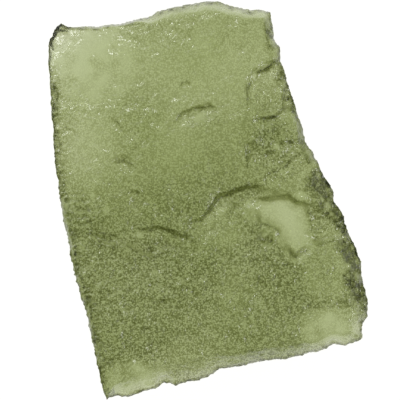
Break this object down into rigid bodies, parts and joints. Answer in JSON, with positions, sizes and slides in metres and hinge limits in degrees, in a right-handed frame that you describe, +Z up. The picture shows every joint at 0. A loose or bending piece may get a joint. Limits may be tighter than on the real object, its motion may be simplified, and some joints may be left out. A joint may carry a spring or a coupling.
{
  "type": "moldavite",
  "caption": "Flat broken slab of see-through olive-green natural glass with an etched, pitted skin and shell-shaped scars.",
  "frame": {"origin": "under the middle of the stone's outline, on the surface it rests on", "axes": "+Z up through the slab, +Y along its length towards the thin end, +X to the right seen from above"},
  "size_m": [0.0274, 0.034, 0.0048],
  "materials": {
    "green_glass": "etched"
  },
  "bodies": {
    "root": {"moldavite": "green_glass"}
  },
  "joints": []
}
